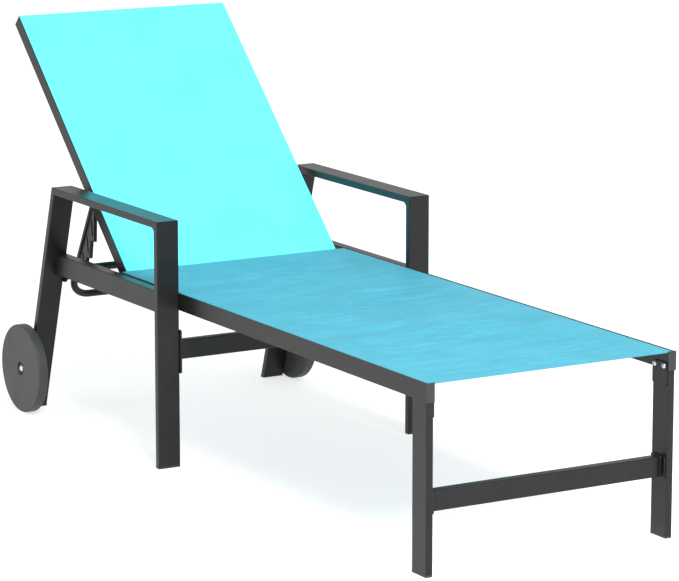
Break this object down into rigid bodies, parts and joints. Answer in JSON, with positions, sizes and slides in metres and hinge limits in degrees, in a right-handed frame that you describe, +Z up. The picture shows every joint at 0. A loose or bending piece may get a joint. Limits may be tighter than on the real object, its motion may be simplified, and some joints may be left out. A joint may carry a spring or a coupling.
{
  "type": "sun lounger",
  "caption": "Low reclining sun lounger: flat-tube frame with arm frames, sling seat, adjustable sling back held by a notched prop, and transport wheels.",
  "frame": {"origin": "on the floor, at the middle of the bounding box's base", "axes": "+X points to the foot end, +Y to the sitter's left as they sit facing the foot end, +Z up"},
  "size_m": [1.7853, 0.7048, 0.8588],
  "materials": {
    "frame_coat": "fine textured matt powder coat",
    "seat_mesh": "woven coated mesh",
    "back_mesh": "woven coated mesh",
    "black_plastic": "matt",
    "wheel_plastic": "matt",
    "nylon": "matt",
    "zinc_steel": "zinc plated"
  },
  "bodies": {
    "frame": {"arm_front_leg_left": "frame_coat", "arm_front_leg_right": "frame_coat", "arm_glide_left": "black_plastic", "arm_glide_right": "black_plastic", "arm_rail_screws": "zinc_steel", "arm_rear_leg_left": "frame_coat", "arm_rear_leg_right": "frame_coat", "arm_side_rail_left": "frame_coat", "arm_side_rail_right": "frame_coat", "armrest_left": "frame_coat", "armrest_right": "frame_coat", "axle_bolts": "zinc_steel", "axle_nuts": "zinc_steel", "catch_bar": "frame_coat", "catch_bar_plate_left": "frame_coat", "catch_bar_plate_right": "frame_coat", "foot_bracket_left": "frame_coat", "foot_bracket_right": "frame_coat", "foot_bracket_screws": "zinc_steel", "foot_crossbar": "frame_coat", "foot_crossbar_plate_left": "frame_coat", "foot_crossbar_plate_right": "frame_coat", "foot_glide_left": "black_plastic", "foot_glide_right": "black_plastic", "foot_leg_left": "frame_coat", "foot_leg_right": "frame_coat", "hinge_pins": "zinc_steel", "hinge_spacers": "nylon", "mid_crossbar": "frame_coat", "mid_crossbar_plate_left": "frame_coat", "mid_crossbar_plate_right": "frame_coat", "mid_plate_screws": "zinc_steel", "rear_leg_plug_left": "black_plastic", "rear_leg_plug_right": "black_plastic", "seat_mid_bar": "frame_coat", "seat_rail_cap_left": "black_plastic", "seat_rail_cap_right": "black_plastic", "seat_rail_left": "frame_coat", "seat_rail_right": "frame_coat", "seat_rear_bar": "frame_coat", "seat_sling": "seat_mesh", "sling_spline_left": "black_plastic", "sling_spline_right": "black_plastic", "wheel_spacers": "nylon"},
    "backrest": {"back_rail_left": "frame_coat", "back_rail_right": "frame_coat", "back_top_bar": "frame_coat", "back_bottom_bar": "frame_coat", "back_sling": "back_mesh", "prop_pins": "zinc_steel", "prop_washers": "nylon"},
    "prop": {"prop_bail": "frame_coat", "prop_rack_left": "frame_coat", "prop_rack_right": "frame_coat"},
    "wheel_left_body": {"wheel_left": "wheel_plastic", "wheel_bush_left": "nylon"},
    "wheel_right_body": {"wheel_right": "wheel_plastic", "wheel_bush_right": "nylon"}
  },
  "joints": [
    {"name": "backrest_recline", "type": "hinge", "parent": "frame", "child": "backrest", "pos_m": [-0.3665, 0, 0.353], "axis": [0, 1, 0], "range_deg": [-43.8, 0]},
    {"name": "prop_swing", "type": "hinge", "parent": "backrest", "child": "prop", "pos_m": [-0.5491, 0, 0.52811], "axis": [0, 1, 0], "range_deg": [0, 100.8]},
    {"name": "wheel_left_spin", "type": "hinge", "parent": "frame", "child": "wheel_left_body", "pos_m": [-0.69872, 0.344, 0.098], "axis": [0, 1, 0], "continuous": true},
    {"name": "wheel_right_spin", "type": "hinge", "parent": "frame", "child": "wheel_right_body", "pos_m": [-0.69872, -0.344, 0.098], "axis": [0, 1, 0], "continuous": true}
  ],
  "couplings": [
    {"joint": "prop_swing", "follows": "backrest_recline", "ratio": -2.3}
  ]
}
